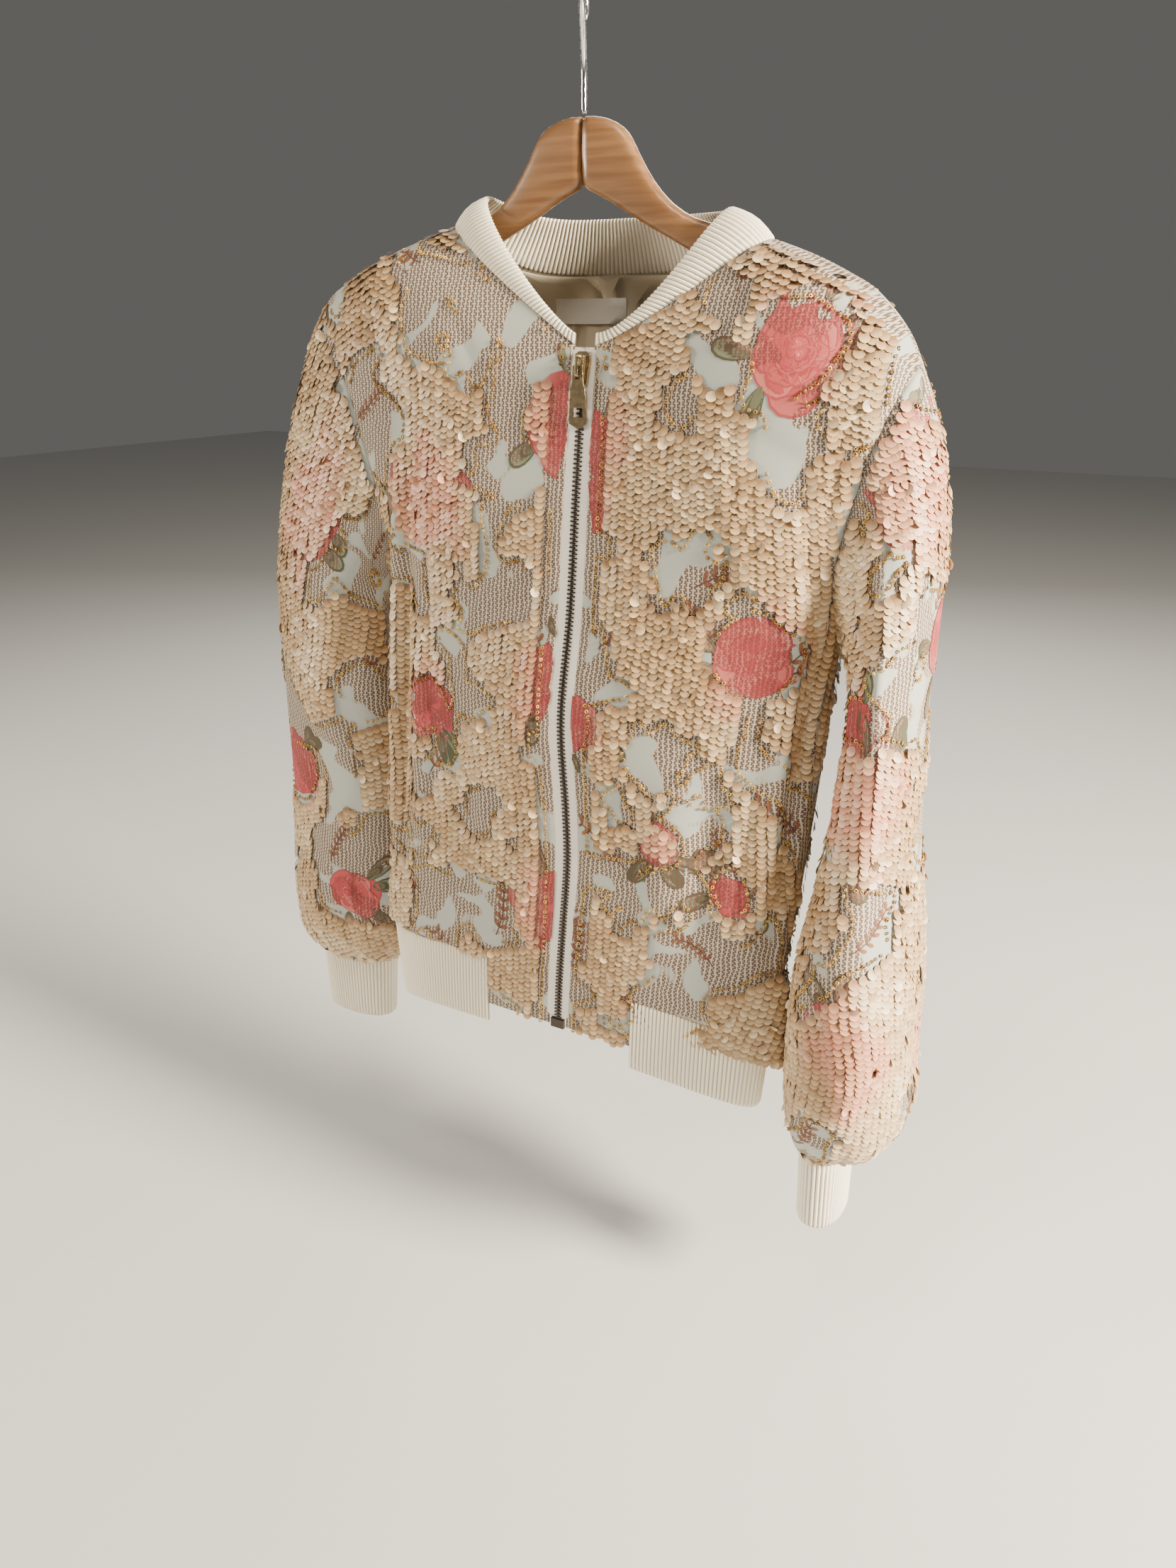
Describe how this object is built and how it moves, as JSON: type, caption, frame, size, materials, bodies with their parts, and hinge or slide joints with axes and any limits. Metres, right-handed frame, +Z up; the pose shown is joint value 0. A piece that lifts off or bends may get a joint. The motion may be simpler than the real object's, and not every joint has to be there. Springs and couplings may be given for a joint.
{
  "type": "bomber jacket on hanger",
  "caption": "Zipped short jacket covered in pale sequins, with rib knit neck, cuffs and hem band, hanging on a wooden hanger with a wire hook.",
  "frame": {"origin": "seat inside the top of the hanger hook, where it hangs from a rail", "axes": "+Z up, the zip faces -Y, +X towards the wearer's left"},
  "size_m": [0.5473, 0.1388, 0.8098],
  "materials": {
    "sequin_cloth": "satin",
    "rib_knit": "matte",
    "lining": "satin",
    "zip_tape": "matte",
    "label": "satin",
    "dark_metal": "satin",
    "bright_metal": "polished",
    "wood": "varnished",
    "chrome": "polished"
  },
  "bodies": {
    "jacket_on_hanger": {"front_right": "sequin_cloth", "front_left": "sequin_cloth", "back": "sequin_cloth", "sleeve_right": "sequin_cloth", "sleeve_left": "sequin_cloth", "cuff_right": "rib_knit", "cuff_left": "rib_knit", "hem_band": "rib_knit", "neck_band": "rib_knit", "zip_tape_right": "zip_tape", "zip_tape_left": "zip_tape", "zip_chain": "dark_metal", "zip_box": "bright_metal", "zip_slider": "bright_metal", "back_neck_lining": "lining", "neck_label": "label", "hanger_arm_right": "wood", "hanger_arm_left": "wood", "hanger_hook": "chrome"},
    "pull_tab": {"pull_tab": "bright_metal"}
  },
  "joints": [
    {"name": "pull_tab_swing", "type": "hinge", "parent": "jacket_on_hanger", "child": "pull_tab", "pos_m": [0.021, -0.0452, -0.2249], "axis": [-1, 0, 0], "range_deg": [0, 150]}
  ]
}
